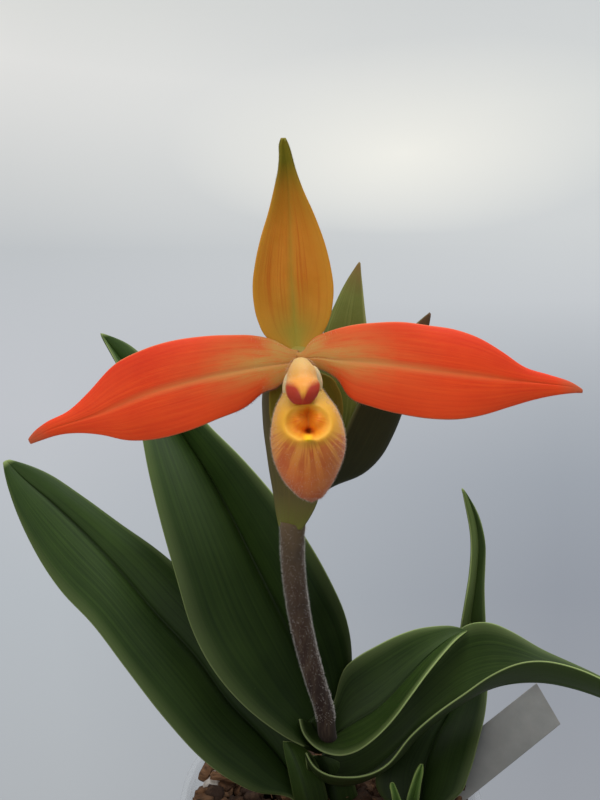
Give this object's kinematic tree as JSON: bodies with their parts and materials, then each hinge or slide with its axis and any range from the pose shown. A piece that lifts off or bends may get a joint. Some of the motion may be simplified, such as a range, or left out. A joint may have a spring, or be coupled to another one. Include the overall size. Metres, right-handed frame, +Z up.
{
  "type": "potted phragmipedium orchid",
  "caption": "Potted slipper orchid with strap leaves, one upright stem with folded bracts and one open flower with a hanging pouch, in a clear pot of bark mix.",
  "frame": {"origin": "centre of the flat underside of the pot", "axes": "+Z up along the pot's axis; the flower faces -Y; +X to the right of somebody who faces the flower"},
  "size_m": [0.1565, 0.1053, 0.2114],
  "materials": {
    "clear_plastic": "clear, slightly grey moulded plastic",
    "bark_brown": "rough reddish-brown bark",
    "rhizome_brown": "dull brown root stock",
    "pumice_white": "dry off-white porous stone",
    "leaf_green": "satin dark green leaf with a paler margin",
    "shoot_green": "satin fresh green leaf",
    "stem_skin": "brown-purple stem with short pale down",
    "bract_olive": "satin olive bract",
    "ovary_green": "downy brownish green",
    "petal_orange": "velvety red-orange petal",
    "sepal_ochre": "velvety ochre-orange sepal",
    "pouch_peach": "satin peach pouch with red streaks",
    "column_yellow": "waxy yellow-orange",
    "label_white": "plain white plant label, writing left bare"
  },
  "bodies": {
    "root": {"pot": "clear_plastic", "potting_mix": "bark_brown", "rhizome": "rhizome_brown", "bark_chip_1": "bark_brown", "bark_chip_2": "bark_brown", "bark_chip_3": "bark_brown", "bark_chip_4": "bark_brown", "bark_chip_5": "bark_brown", "pumice_1": "pumice_white", "pumice_2": "pumice_white", "leaf_left_low": "leaf_green", "leaf_left_tall": "leaf_green", "leaf_right_inner": "leaf_green", "leaf_right_arching": "leaf_green", "leaf_right_back": "leaf_green", "shoot_leaf_short": "shoot_green", "shoot_leaf_long": "shoot_green", "flower_stem": "stem_skin", "ovary": "ovary_green", "rachis_tip": "stem_skin", "flower_bud": "shoot_green", "bract_lower": "bract_olive", "bract_right": "bract_olive", "bract_upper": "shoot_green", "petal_left": "petal_orange", "petal_right": "petal_orange", "dorsal_sepal": "sepal_ochre", "synsepal": "bract_olive", "pouch": "pouch_peach", "column": "column_yellow", "staminode": "column_yellow", "plant_label": "label_white"}
  },
  "joints": []
}
